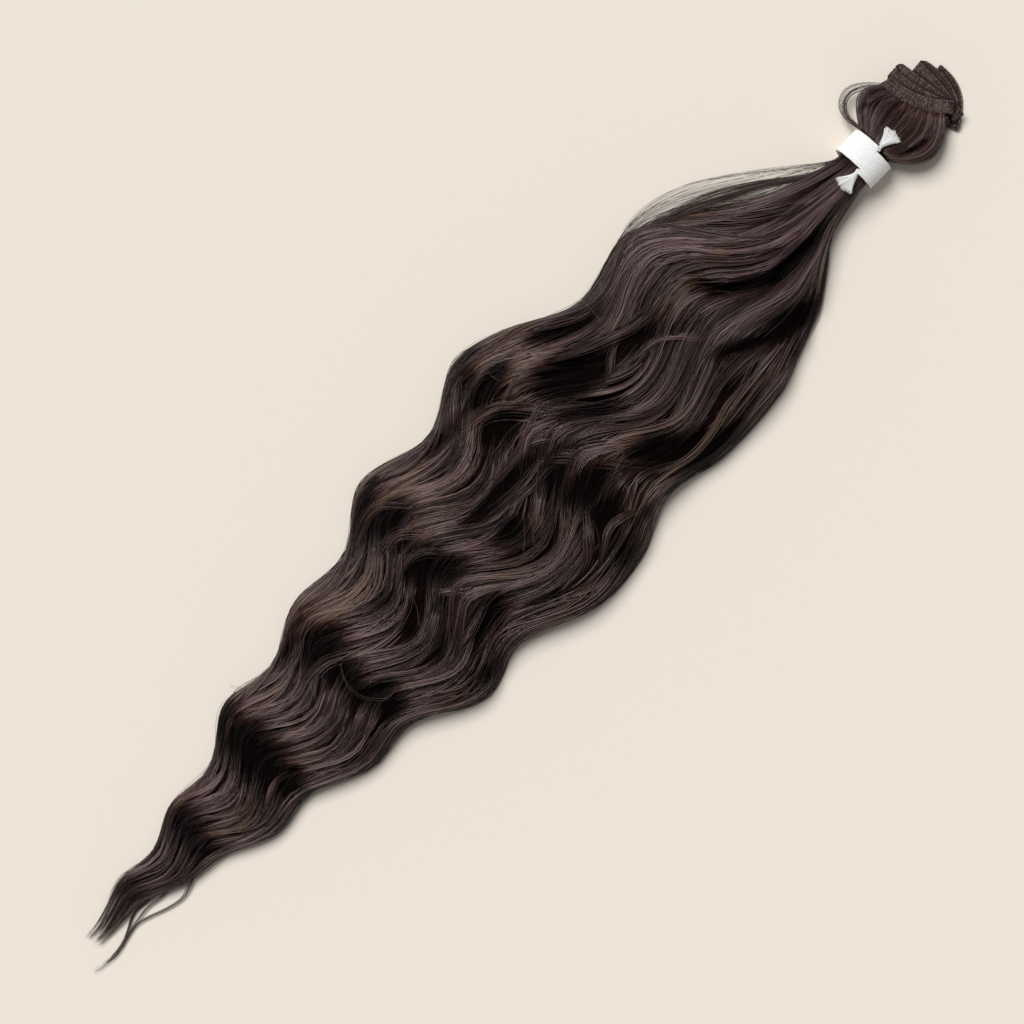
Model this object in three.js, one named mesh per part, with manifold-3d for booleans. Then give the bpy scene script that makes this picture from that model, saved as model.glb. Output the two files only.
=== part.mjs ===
// A waved hair weft, laid flat as it is stored. Long dark hair hangs from a sewn track that is folded
// six deep at the head; a cotton cord is wound round the neck of the bundle. Millimetres, +Z up.
// "along" is measured from the tips toward the track (+X), "across" from the line between (left is +Y).

import * as THREE from "three";
import { LoftGeometry } from "three/addons/geometries/LoftGeometry.js";
import { mergeVertices } from "three/addons/utils/BufferGeometryUtils.js";
import Module from "manifold-3d";

const wasm = await Module();
wasm.setup();

// Driving dimensions
const ORIGIN = { along: 341, across: 9.5 };
const NECK = { from: 617, to: 640, across: 6.8, height: 12.8, halfWidth: 11.5, halfHeight: 9 };
const CORD = { radius: 1.5, turns: 6, pitch: 3.3, clearance: 0.65, start: 619.6 };
const TRACK = { width: 8, thickness: 1.8, pitch: 2.4 };
const GAP = 0.4;
const EDGE_HEIGHT = 4;
const CORE_SIDES = 18;
const LOCK_SIDES = 6;
const LOCK_STEPS = 34;

// The fall of the hair: its two edges and its height. Low rows are the hollows between waves.
const FALL = [
  { along: 0, left: 3, right: -3, top: 2.5 },
  { along: 14, left: 6, right: -6, top: 4.5 },
  { along: 32, left: 12.5, right: -6, top: 4.5 },
  { along: 57, left: 11, right: -15, top: 8 },
  { along: 83, left: 22.5, right: -19, top: 5.5 },
  { along: 115, left: 22.5, right: -32, top: 13 },
  { along: 144, left: 41.5, right: -29, top: 7.5 },
  { along: 181, left: 38.5, right: -43, top: 18 },
  { along: 214, left: 54.5, right: -41.5, top: 11 },
  { along: 256, left: 54.5, right: -60.5, top: 23 },
  { along: 290, left: 77, right: -52.5, top: 14 },
  { along: 339, left: 69, right: -68, top: 27 },
  { along: 377, left: 88.5, right: -65.5, top: 18 },
  { along: 411, left: 82.5, right: -52, top: 27 },
  { along: 454, left: 62.5, right: -57.5, top: 28 },
  { along: 500, left: 71.5, right: -54.5, top: 26 },
  { along: 523, left: 66.5, right: -46.5, top: 26.5 },
  { along: 549, left: 55.5, right: -38.5, top: 26 },
  { along: 566, left: 40, right: -26.5, top: 25 },
  { along: 584, left: 30.5, right: -13, top: 23.5 },
  { along: 601, left: 22.5, right: -6.5, top: 22 },
  { along: 617, left: 18.3, right: -4.7, top: 21.5 },
  { along: 640, left: 18.3, right: -4.7, top: 21.5 },
];

// Where each lock lies round the bundle, in degrees from its left edge, at five stations;
// where its tip ends; and half its width.
const STATIONS = { tail: 40, waist: 220, belly: 390, fan: 540, tie: 612 };
const LOCKS = [
  { tie: 25, fan: 20, belly: 22, waist: 26, tail: 30, ends: 28, wide: 8.5 },
  { tie: 48, fan: 38, belly: 41, waist: 44, tail: 56, ends: 12, wide: 9.5 },
  { tie: 66, fan: 53, belly: 57, waist: 63, tail: 74, ends: 6, wide: 9.5 },
  { tie: 82, fan: 66, belly: 72, waist: 82, tail: 92, ends: 40, wide: 9.5 },
  { tie: 97, fan: 79, belly: 88, waist: 98, tail: 106, ends: 2, wide: 9 },
  { tie: 116, fan: 109, belly: 105, waist: 113, tail: 118, ends: 18, wide: 9.5 },
  { tie: 132, fan: 124, belly: 121, waist: 127, tail: 132, ends: 60, wide: 9.5 },
  { tie: 150, fan: 140, belly: 139, waist: 142, tail: 146, ends: 30, wide: 8.5 },
  { tie: 166, fan: 158, belly: 158, waist: 156, tail: 154, ends: 50, wide: 8 },
];

// Loose locks that leave the bundle: the stray curl at the tail and the loop beside the roots
const STRAYS = [
  { radius: 1.7, height: 1.9, path: [[66, -13], [57, -17], [48, -20], [34, -17], [23, -12.6], [11, -13.8], [0, -17],
    [-11, -16], [-20, -14.4]] },
  { radius: 1.9, height: 8, path: [[643, 12], [641, 26], [645, 37], [652, 39], [659, 35], [663, 29], [660, 22]] },
];

// Track layers from the top one down: the two ends of each seam, and how far the seam bows from the tie
const LAYERS = [
  { leftAlong: 664.5, leftAcross: 29.5, rightAlong: 680.5, rightAcross: -9, bow: -4 },
  { leftAlong: 670, leftAcross: 29, rightAlong: 681.2, rightAcross: -10.2, bow: -2.6 },
  { leftAlong: 675.3, leftAcross: 28, rightAlong: 680.7, rightAcross: -12, bow: 0.2 },
  { leftAlong: 683.5, leftAcross: 22, rightAlong: 679.6, rightAcross: -12.7, bow: 1.6 },
  { leftAlong: 687.2, leftAcross: 18.2, rightAlong: 678, rightAcross: -12.2, bow: 4.6 },
  { leftAlong: 691.5, leftAcross: 13, rightAlong: 677, rightAcross: -11, bow: 6 },
];

const { clamp, degToRad, lerp, smoothstep } = THREE.MathUtils;

// A smooth reading of one column of a table
function read(rows, column, along) {
  let i = 0;
  while (i < rows.length - 2 && along > rows[i + 1].along) i += 1;
  const slope = (k) => {
    const a = rows[Math.max(k - 1, 0)];
    const b = rows[Math.min(k + 1, rows.length - 1)];
    return (b[column] - a[column]) / (b.along - a.along);
  };
  const run = rows[i + 1].along - rows[i].along;
  const t = clamp((along - rows[i].along) / run, 0, 1);
  const rise = t * t * (3 - 2 * t);
  return (1 - rise) * rows[i][column] + rise * rows[i + 1][column]
    + run * t * (1 - t) * ((1 - t) * slope(i) - t * slope(i + 1));
}

// A geometry as a welded, closed solid
function solid(geometry) {
  const bare = new THREE.BufferGeometry();
  bare.setAttribute("position", geometry.attributes.position);
  bare.setIndex(geometry.index);
  const welded = mergeVertices(bare, 1e-4);
  return new wasm.Manifold(new wasm.Mesh({
    numProp: 3,
    vertProperties: Float32Array.from(welded.attributes.position.array),
    triVerts: Uint32Array.from(welded.index.array),
  }));
}

function loft(rings) {
  return solid(new LoftGeometry(rings, { capStart: true, capEnd: true }));
}

function piece(name, body, color, roughness) {
  const mesh = body.getMesh();
  const geometry = new THREE.BufferGeometry();
  geometry.setAttribute("position", new THREE.BufferAttribute(Float32Array.from(mesh.vertProperties), 3));
  geometry.setIndex(new THREE.BufferAttribute(Uint32Array.from(mesh.triVerts), 1));
  geometry.translate(-ORIGIN.along, -ORIGIN.across, 0);
  geometry.computeVertexNormals();
  const made = new THREE.Mesh(geometry, new THREE.MeshStandardMaterial({ color, roughness, metalness: 0 }));
  made.name = name;
  return made;
}

// A point on the skin of the hair: flat underneath along the fall, oval at the neck
function skin(along, angle) {
  const left = read(FALL, "left", along);
  const right = read(FALL, "right", along);
  const top = read(FALL, "top", along);
  const up = Math.sin(angle);
  const edge = Math.min(EDGE_HEIGHT, 0.4 * top);
  const lying = up >= 0 ? edge + (top - edge) * up : edge * (1 - Math.min(1, -2.4 * up));
  const gathered = NECK.height + NECK.halfHeight * up;
  const height = lerp(lying, gathered, smoothstep(along, 560, NECK.from));
  return new THREE.Vector3(along, (left + right) / 2 + ((left - right) / 2) * Math.cos(angle), height);
}

function core() {
  const rings = [];
  for (let i = 0; i < FALL.length; i += 1) {
    const next = FALL[Math.min(i + 1, FALL.length - 1)].along;
    const halves = next - FALL[i].along > 12 ? [0, 0.5] : [0];
    for (const half of halves) {
      const along = lerp(FALL[i].along, next, half);
      rings.push(Array.from({ length: CORE_SIDES }, (_, k) => skin(along, (k / CORE_SIDES) * 2 * Math.PI)));
    }
  }
  return loft(rings);
}

// A lock of hair that rides on the skin from its tip to the tie
function lock(row) {
  const turns = Object.entries(STATIONS).map(([station, along]) => ({ along, angle: degToRad(row[station]) }));
  const angleAt = (along) => read(turns, "angle", along);
  const rings = [];
  for (let i = 0; i <= LOCK_STEPS; i += 1) {
    const along = lerp(row.ends, NECK.from - 3, i / LOCK_STEPS);
    const angle = angleAt(along);
    const here = skin(along, angle);
    const dir = skin(along + 1, angleAt(along + 1)).sub(here).normalize();
    const round = skin(along, angle - 0.02).sub(here).normalize();
    const out = dir.clone().cross(round).normalize();
    const side = out.clone().cross(dir);
    const spread = read(FALL, "left", along) - read(FALL, "right", along);
    const tip = smoothstep(along, row.ends - 25, row.ends + 60);
    const wide = row.wide * clamp(spread / 135, 0.22, 1.05) * (0.35 + 0.65 * tip);
    const thick = 0.45 * wide + 0.5;
    here.addScaledVector(out, -0.25 * thick);
    rings.push(Array.from({ length: LOCK_SIDES }, (_, k) => {
      const turn = (k / LOCK_SIDES) * 2 * Math.PI;
      return here.clone().addScaledVector(side, wide * Math.cos(turn)).addScaledVector(out, thick * Math.sin(turn));
    }));
  }
  return loft(rings);
}

// A thin lock along a drawn path, tapering to its tip
function stray(row) {
  const path = new THREE.CatmullRomCurve3(row.path.map(([along, across]) => new THREE.Vector3(along, across, row.height)));
  const steps = row.path.length * 2;
  const rings = [];
  for (let i = 0; i <= steps; i += 1) {
    const here = path.getPoint(i / steps);
    const dir = path.getTangent(i / steps);
    const out = new THREE.Vector3(0, 0, 1);
    const side = out.clone().cross(dir).normalize();
    const radius = row.radius * (1 - 0.55 * (i / steps) ** 2);
    rings.push(Array.from({ length: 6 }, (_, k) => here.clone()
      .addScaledVector(side, radius * Math.cos((k * Math.PI) / 3))
      .addScaledVector(out, radius * Math.sin((k * Math.PI) / 3))));
  }
  return loft(rings);
}

// A layer's seam in plan, with its direction and the direction away from the tie at each share of it
function seam(row) {
  const left = new THREE.Vector2(row.leftAlong, row.leftAcross);
  const right = new THREE.Vector2(row.rightAlong, row.rightAcross);
  const chord = right.clone().sub(left);
  const out = new THREE.Vector2(-chord.y, chord.x).normalize();
  const run = (s) => chord.clone().addScaledVector(out, row.bow * 4 * (1 - 2 * s)).normalize();
  const away = (s) => new THREE.Vector2(-run(s).y, run(s).x);
  const point = (s, offset) => left.clone().lerp(right, s)
    .addScaledVector(out, row.bow * 4 * s * (1 - s))
    .addScaledVector(away(s), offset);
  return { run, away, point };
}

function layerHeight(i) {
  return TRACK.thickness / 2 + (LAYERS.length - 1 - i) * TRACK.pitch;
}

// The edges of the roots, from the neck out to near the two ends of a seam
function rootEdges(row, leftBulge, rightBulge, inset) {
  const { point } = seam(row);
  const from = (across) => new THREE.Vector2(NECK.to - 2, NECK.across + across);
  return {
    left: new THREE.QuadraticBezierCurve(from(10.7), new THREE.Vector2(652, leftBulge), point(inset, -GAP)),
    right: new THREE.QuadraticBezierCurve(from(-10.7), new THREE.Vector2(656, rightBulge), point(1 - inset, -GAP)),
  };
}

// The plan of the roots of one layer, stopping just short of its seam
function rootPlan(row, leftBulge, rightBulge, inset, height) {
  const { point } = seam(row);
  const edges = rootEdges(row, leftBulge, rightBulge, inset);
  const outline = new THREE.Shape([
    ...edges.right.getPoints(6),
    ...[0.8, 0.65, 0.5, 0.35, 0.2].map((s) => point(s, -GAP)),
    ...edges.left.getPoints(6).reverse(),
  ]);
  return new THREE.ExtrudeGeometry(outline, { depth: height, bevelEnabled: false });
}

// Roots from the neck to the top seam, puffed up over the layers
function crown() {
  const row = LAYERS[0];
  const { away } = seam(row);
  const edges = rootEdges(row, 41, -33, 0);
  const rings = [];
  const steps = 8;
  for (let i = 0; i <= steps; i += 1) {
    const f = i / steps;
    const beyond = 3 * smoothstep(f, 0.8, 1);
    const [left, right] = [edges.left.getPoint(f), edges.right.getPoint(f)];
    const seamTop = layerHeight(0) + TRACK.thickness / 2 - 0.2;
    const top = lerp(NECK.height + NECK.halfHeight - 0.3, seamTop, f ** 2.2);
    const bottom = lerp(NECK.height - NECK.halfHeight + 0.3, 0, smoothstep(f, 0, 0.6));
    const middle = lerp((top + bottom) / 2, bottom + 4, f);
    rings.push(Array.from({ length: 16 }, (_, k) => {
      const [c, s] = [Math.cos((k * Math.PI) / 8), Math.sin((k * Math.PI) / 8)];
      const plan = right.clone().lerp(left, (c + 1) / 2).addScaledVector(away((1 - c) / 2), beyond);
      const flat = clamp(s * lerp(1, 2.2, f), -1, 1);
      return new THREE.Vector3(plan.x, plan.y, flat >= 0 ? lerp(middle, top, flat) : lerp(middle, bottom, -flat));
    }));
  }
  return loft(rings).intersect(solid(rootPlan(row, 46, -38, 0.03, 40)));
}

// Roots that run under the layers above to reach a lower seam
function rootSheet(row, i) {
  const sheet = rootPlan(row, 27, -10, 0.1, TRACK.thickness);
  return solid(sheet.translate(0, 0, layerHeight(i) - TRACK.thickness / 2));
}

function hairLengths() {
  const parts = [core(), crown(), ...LOCKS.map(lock), ...STRAYS.map(stray)];
  LAYERS.forEach((row, i) => { if (i > 0) parts.push(rootSheet(row, i)); });
  const table = solid(new THREE.BoxGeometry(1600, 800, 40).translate(ORIGIN.along, 0, -20));
  const shells = wasm.Manifold.union(parts).subtract(table).decompose();
  return shells.reduce((outer, shell) => (shell.volume() > outer.volume() ? shell : outer));
}

// The folded track: one strip that runs out and back, turning over at each end
function weftTrack() {
  const rings = [];
  const add = (plan, height, away, tilt, run) => {
    const flat = new THREE.Vector3(away.x, away.y, 0);
    const face = new THREE.Vector3(run.x, run.y, 0).multiplyScalar(Math.sin(tilt));
    face.z = Math.cos(tilt);
    const centre = new THREE.Vector3(plan.x, plan.y, height).addScaledVector(flat, TRACK.width / 2);
    rings.push([[-1, -1], [1, -1], [1, 1], [-1, 1]].map(([w, t]) => centre.clone()
      .addScaledVector(flat, (w * TRACK.width) / 2)
      .addScaledVector(face, (t * TRACK.thickness) / 2)));
  };
  LAYERS.forEach((row, i) => {
    const here = seam(row);
    const rightward = i % 2 === 0;
    for (let k = 0; k <= 6; k += 1) {
      const s = rightward ? k / 6 : 1 - k / 6;
      add(here.point(s, 0), layerHeight(i), here.away(s), rightward ? 0 : Math.PI, here.run(s));
    }
    if (i === LAYERS.length - 1) return;
    const next = seam(LAYERS[i + 1]);
    const end = rightward ? 1 : 0;
    const run = here.run(end);
    const outward = (rightward ? 1 : -1) * (TRACK.pitch / 2);
    for (let k = 1; k < 6; k += 1) {
      const turn = (k / 6) * Math.PI;
      const share = (1 - Math.cos(turn)) / 2;
      const plan = here.point(end, 0).lerp(next.point(end, 0), share)
        .addScaledVector(run, outward * Math.sin(turn));
      const away = here.away(end).lerp(next.away(end), share).normalize();
      const tilt = rightward ? turn : Math.PI - turn;
      add(plan, lerp(layerHeight(i), layerHeight(i + 1), share), away, tilt, run);
    }
  });
  return loft(rings);
}

// A frayed end of the cord: strips of loose yarn that fan from it
function frayed(from, toward, drop) {
  const strips = [];
  for (let k = -2; k <= 2; k += 1) {
    const reach = 11 - 0.9 * Math.abs(k);
    const tip = from.clone().add(new THREE.Vector3(toward * reach, k * 2.7, drop));
    const path = new THREE.QuadraticBezierCurve3(
      from,
      from.clone().add(new THREE.Vector3(toward * 4, k * 0.7, drop * 0.2)),
      tip,
    );
    const rings = [0, 0.5, 1].map((f) => {
      const here = path.getPoint(f);
      const wide = lerp(1.1, 1.3, f);
      const thick = lerp(1.3, 0.6, f);
      return [[-1, -1], [1, -1], [1, 1], [-1, 1]].map(([w, t]) => new THREE.Vector3(
        here.x,
        here.y + w * wide * toward,
        here.z + t * thick,
      ));
    });
    strips.push(loft(rings));
  }
  return strips;
}

function tieCord() {
  const reach = CORD.radius + CORD.clearance;
  const points = [];
  const begin = 0.56 * Math.PI;
  const perTurn = 16;
  const steps = CORD.turns * perTurn;
  for (let i = 0; i <= steps; i += 1) {
    const turn = begin + (i / perTurn) * 2 * Math.PI;
    points.push(new THREE.Vector3(
      CORD.start + (i / perTurn) * CORD.pitch * (CORD.turns - 1) / CORD.turns,
      NECK.across + (NECK.halfWidth + reach) * Math.cos(turn),
      NECK.height + (NECK.halfHeight + reach) * Math.sin(turn),
    ));
  }
  const first = points[0];
  const last = points[points.length - 1];
  const lead = first.clone().add(new THREE.Vector3(-2.6, -0.6, 0.2));
  const trail = last.clone().add(new THREE.Vector3(2.6, 0.6, 0.2));
  const path = new THREE.CatmullRomCurve3([lead, ...points, trail]);
  const round = new THREE.Shape(new THREE.Path().absarc(0, 0, CORD.radius, 0, 2 * Math.PI).getPoints(4));
  const wound = new THREE.ExtrudeGeometry(round, { steps: steps + 4, extrudePath: path });
  return wasm.Manifold.union([solid(wound), ...frayed(lead, -1, 0.6), ...frayed(trail, 1, -0.4)]);
}

const weft = new THREE.Group();
weft.name = "hair_weft";
weft.add(
  piece("hair_lengths", hairLengths(), 0x342a29, 0.45),
  piece("weft_track", weftTrack(), 0x50443f, 0.8),
  piece("tie_cord", tieCord(), 0xf2f0ec, 0.9),
);
export default weft;
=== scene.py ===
"""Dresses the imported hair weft: waved strands in locks, the sewn track and the wound cotton tie.

All tables are in millimetres. "along" runs from the tips toward the track (+X), "across" to the
left (+Y) and "height" up (+Z) from the surface that the weft lies on.
"""
import math

import bmesh
import bpy
import numpy as np
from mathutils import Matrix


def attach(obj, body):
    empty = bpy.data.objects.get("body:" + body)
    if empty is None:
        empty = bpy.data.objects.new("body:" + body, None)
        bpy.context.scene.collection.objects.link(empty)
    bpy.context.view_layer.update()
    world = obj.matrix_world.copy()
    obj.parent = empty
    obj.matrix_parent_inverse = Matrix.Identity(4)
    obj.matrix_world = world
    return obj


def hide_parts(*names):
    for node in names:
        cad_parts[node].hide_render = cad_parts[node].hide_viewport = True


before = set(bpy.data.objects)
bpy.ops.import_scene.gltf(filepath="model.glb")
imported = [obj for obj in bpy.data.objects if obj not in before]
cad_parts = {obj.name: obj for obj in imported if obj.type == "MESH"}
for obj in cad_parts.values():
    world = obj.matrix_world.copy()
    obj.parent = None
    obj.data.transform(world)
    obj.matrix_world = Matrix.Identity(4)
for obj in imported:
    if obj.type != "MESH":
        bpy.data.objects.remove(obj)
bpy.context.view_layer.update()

bl_info = {
    "name": "Hair weft",
    "version": (1, 0, 0),
    "blender": (4, 5, 0),
    "location": "View3D > Sidebar > Hair weft",
    "description": "Builds a waved hair weft with its folded track and cotton tie",
    "category": "Object",
}

MM = 0.001
ORIGIN = np.array((341.0, 9.5, 0.0))  # along, across and height of the frame's origin
NECK = {"from": 617.0, "to": 640.0, "across": 6.8, "height": 12.8, "half_width": 11.5, "half_height": 9.0,
        "gathers": 575.0}
EDGE_HEIGHT = 4.0

# The fall: along, left edge, right edge, height of the crests
FALL = (
    (0, 4, -7, 3.0),
    (14, 8.5, -6.5, 5.0),
    (32, 13.5, -6.5, 7.0),
    (57, 11, -15.5, 9.0),
    (83, 22.5, -19, 11.5),
    (115, 22.5, -32, 14.5),
    (144, 41.5, -29, 17.0),
    (181, 38.5, -43, 20.0),
    (214, 54.5, -41.5, 22.0),
    (256, 54.5, -60.5, 25.0),
    (290, 77, -52.5, 26.5),
    (339, 69, -68, 28.5),
    (377, 88.5, -65.5, 29.0),
    (411, 82.5, -52, 29.0),
    (454, 62.5, -57.5, 29.5),
    (500, 71.5, -54.5, 28.5),
    (523, 61, -46.5, 28.0),
    (549, 45, -35, 27.0),
    (566, 36, -23.5, 26.0),
    (584, 28.5, -12, 24.0),
    (601, 22.5, -6.5, 22.3),
    (617, 18.3, -4.7, 21.8),
    (640, 18.3, -4.7, 21.8),
)

# Hollows between the locks: along, across, half length, half width, slope, depth
HOLLOWS = (
    (31, 3, 7, 8, 0.0, 2.0), (79, 4, 8, 12, 0.0, 5.0), (78, 3, 5, 8, 0.2, 4.0), (86, 15, 7, 3, 0.2, 3.0),
    (81, -13, 6, 4, -0.4, 3.0),
    (139, 12, 9, 34, 0.0, 4.0), (140, 37, 7, 5, 0.4, 6.0), (138, 19, 10, 10, 0.0, 10.0),
    (138, 4, 10, 8, 0.0, 10.0), (137, -6, 8, 5, 0.0, 9.0), (143, -16, 7, 4.5, 0.2, 9.0),
    (208, 45, 5, 1.6, 0.0, 5.0), (196, 38.5, 9, 2.4, 0.1, 8.0), (207, 28, 11, 8, -0.1, 13.0),
    (195, 22, 7, 1.6, 0.3, 5.0), (206, 10, 8, 3.5, -0.2, 8.0), (207, 0, 5.5, 8, 0.0, 11.0),
    (213, -14, 12, 4, -0.2, 10.0), (214, -25, 7.5, 5.5, 0.0, 11.0), (207, -29.5, 7, 2, 0.0, 7.0),
    (279, 64, 13, 3.4, 0.45, 11.0), (285, 51, 12, 5.8, 0.0, 13.0), (282, 35, 8, 2.2, 0.0, 6.0),
    (284, 18, 8.5, 7.5, 0.0, 14.0), (290, 7, 7.5, 5, -0.1, 12.0), (260, 1, 10, 4, 0.5, 9.0),
    (252, 19, 6, 4, 0.0, 5.0), (275, -4, 4, 3.5, 0.0, 7.0), (289, -29, 11, 5.5, 0.2, 12.0),
    (264, -52, 8, 3.5, 0.0, 8.0), (257, -25, 8, 2, 0.2, 6.0), (322, -45, 8, 2.2, -0.4, 6.0),
    (342, 61, 11, 2.4, 0.0, 8.0), (346, 16, 20, 4, 0.0, 11.0), (332, -6, 6.5, 7, 0.0, 9.0),
    (371, 76, 8, 3.8, 0.2, 8.0), (383, 86, 9, 1.6, 0.0, 6.0), (379, 64, 13, 4.5, 0.15, 13.0),
    (370, 44, 9, 6.5, 0.0, 14.0), (384, 42, 7, 3, -0.5, 9.0), (374, 4, 9, 5, 0.0, 9.0),
    (367, -4, 5.5, 5, 0.0, 7.0), (382, -16, 11.5, 5.5, 0.0, 14.0), (377, -34, 9, 5.5, 0.1, 12.0),
    (369, -58, 8, 3.6, 0.3, 8.0), (391, -51, 6, 2.4, -0.2, 6.0),
    (437, 58, 14, 4, -0.35, 13.0), (420, 36, 13, 9, -0.2, 15.0), (434, 34, 12, 8, -0.3, 15.0),
    (415, 12, 11, 5, -0.6, 13.0), (463, 25, 7.5, 4.5, 0.0, 10.0), (478, 14, 10, 2.2, -0.6, 9.0),
    (427, -31, 12, 8, -0.2, 13.0), (446, -40, 8, 2.4, 0.0, 8.0), (447, -50.5, 18, 4, 0.0, 9.0),
    (475, -33, 8, 1.3, 0.25, 6.0), (505, -22, 13, 2.8, -0.5, 11.0), (537, -32, 14, 6, -0.2, 14.0),
    (520, -44, 8, 3, 0.2, 6.0), (516, 14, 5, 5.5, -1.3, 11.0), (531, 0, 13, 4.5, -0.55, 13.0),
    (557, -7, 17, 3.5, 0.0, 13.0), (588, -4, 20, 2.0, 0.12, 7.0), (549, 7, 12, 1.5, -0.75, 8.0),
    (567, 17, 8, 1.1, -0.5, 5.0),
)

# Where the waves crest on the left and right of the fall, which sets the phase of every lock
CRESTS = (
    (-14, 31, 81, 141, 211, 288, 379, 497, 640),
    (-14, 31, 81, 139, 211, 295, 401, 505, 640),
)
FALLING = 0.43  # share of a wave in which the strands swing back to the right, past its crest

# Where strands bend most, so that their steps are closest there
BENDS = (31, 81, 141, 211, 288, 379, 432, 505, 540)

# How far the waves swing the inner locks to each side: along, reach
SWAY = (
    (0, 1), (50, 2), (81, 3.5), (110, 4), (141, 4), (180, 4), (211, 4.5), (250, 4), (288, 5.5), (335, 6.8),
    (379, 9.5), (430, 10), (480, 6.5), (515, 4), (560, 1), (616, 0),
)

# How the locks crowd to the right as they near the tie: along, where the two shares of the width go
CROWDED_SHARES = (0.39, 0.9)
CROWDING = (
    (480, 0.39, 0.90), (518, 0.375, 0.84), (530, 0.345, 0.75), (545, 0.30, 0.66), (560, 0.25, 0.58),
    (575, 0.17, 0.49), (598, 0.12, 0.38), (640, 0.12, 0.38),
)

# Locks that cross on top of the fall: points (along, across), half width, brightness
RIDGES = (
    (((116, -19.5), (126, -15), (133, -11.5), (139, -11), (147, -13)), 1.4, 0.95),
    (((124, 21), (132, 27), (138, 31), (144, 33.5), (154, 33.5)), 1.3, 0.8),
    (((150, 29), (160, 24), (170, 20), (182, 18), (195, 18.5), (205, 18), (212, 14.5), (220, 9), (226, 0),
      (232, -11), (240, -26), (246, -36)), 2.3, 0.7),
    (((174, 27), (186, 31), (197, 34), (206, 40.5), (216, 42), (226, 37), (238, 30)), 2.2, 0.6),
    (((168, -13), (180, -13), (192, -10), (203, -6)), 1.8, 0.6),
    (((176, -23), (190, -20), (200, -16.5), (208, -14)), 1.6, 0.6),
    (((178, -30), (192, -27), (204, -24.5), (212, -22)), 1.6, 0.6),
    (((185, -37), (205, -36.5), (220, -37), (232, -42), (246, -50)), 2.6, 0.6),
    (((232, 52), (248, 51), (262, 53), (274, 59), (283, 61.5), (292, 60), (300, 52), (310, 42), (320, 33),
      (332, 24)), 2.6, 0.62),
    (((240, 34), (260, 36), (275, 40), (285, 41.5), (293, 36), (302, 25), (312, 12), (322, -2),
      (330, -11)), 3.0, 0.62),
    (((254, 24), (268, 25), (280, 26.5), (290, 23.5), (298, 15), (306, 6), (314, -4)), 2.2, 0.58),
    (((272, 6), (279, 1), (287, -6), (297, -14), (310, -20), (326, -24)), 2.2, 0.8),
    (((236, 4), (250, 4), (260, 7.5), (268, 13), (277, 20)), 1.8, 0.62),
    (((240, -12), (258, -11), (269, -6), (279, 2)), 2.4, 0.55),
    (((252, -31), (272, -28.5), (286, -24.5), (298, -21)), 1.8, 0.55),
    (((262, -42), (282, -38), (296, -36.5), (306, -38.5), (322, -47)), 2.8, 0.55),
    (((318, 58), (340, 57), (358, 56), (370, 55), (380, 50), (390, 40), (400, 28), (410, 15),
      (420, 4)), 3.6, 0.62),
    (((322, 28), (345, 25), (364, 26), (377, 27), (388, 20), (398, 8), (408, -6), (422, -20)), 3.6, 0.6),
    (((366, 19), (378, 12), (388, 3), (400, -12), (412, -28), (424, -40)), 2.6, 0.7),
    (((318, 13), (338, 10), (358, 9), (374, 10), (386, 3)), 3.2, 0.6),
    (((336, -20), (348, -9), (358, -1), (368, 5)), 2.4, 0.6),
    (((340, -50), (354, -45), (365, -34), (373, -24)), 2.4, 0.55),
    (((346, -58), (362, -48), (376, -41), (390, -44), (406, -51)), 2.4, 0.5),
    (((346, 59), (355, 65), (363, 73), (373, 80.5), (386, 81)), 2.6, 0.6),
    (((390, 74), (402, 64), (414, 55), (428, 47), (440, 41), (452, 36.5), (464, 32), (478, 31), (494, 34),
      (512, 38)), 2.6, 0.62),
    (((396, 84), (412, 77), (426, 70), (440, 61.5), (452, 56), (470, 55)), 2.2, 0.55),
    (((404, 16), (412, 4), (421, -8), (431, -18), (442, -24), (458, -27), (478, -25)), 2.6, 0.62),
    (((402, -26), (414, -37), (426, -43), (442, -45), (458, -42.5), (474, -38), (492, -38),
      (510, -43)), 1.5, 0.75),
    (((430, 19), (438, 22.5), (446, 28.5), (456, 32)), 1.3, 0.7),
    (((428, 18), (446, 17.5), (462, 17), (471, 15), (479, 9), (486, 1), (492, -7),
      (498, -15), (504, -21)), 2.2, 0.8),
    (((484, 50), (500, 51), (512, 47), (524, 34), (536, 20), (548, 7), (560, 0)), 2.2, 0.7),
    (((468, -12), (490, -8), (510, -7), (530, -11), (552, -13), (576, -11)), 2.4, 0.55),
    (((474, 36), (490, 36), (503, 31), (515, 20), (527, 9), (541, 1), (556, -3)), 2.0, 0.6),
    (((490, 62), (507, 60), (521, 50), (534, 36), (547, 22), (562, 10), (582, 4), (604, 2)), 2.4, 0.6),
    (((498, 68), (515, 65), (530, 55), (545, 41), (560, 28), (578, 17), (598, 11), (616, 9)), 3.0, 0.6),
    (((515, 66), (532, 57), (548, 44), (564, 32.5), (582, 23), (600, 17), (617, 13)), 3.2, 0.6),
    (((536, 54), (552, 43), (568, 33), (585, 25), (602, 19), (618, 15)), 2.6, 0.55),
)

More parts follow.
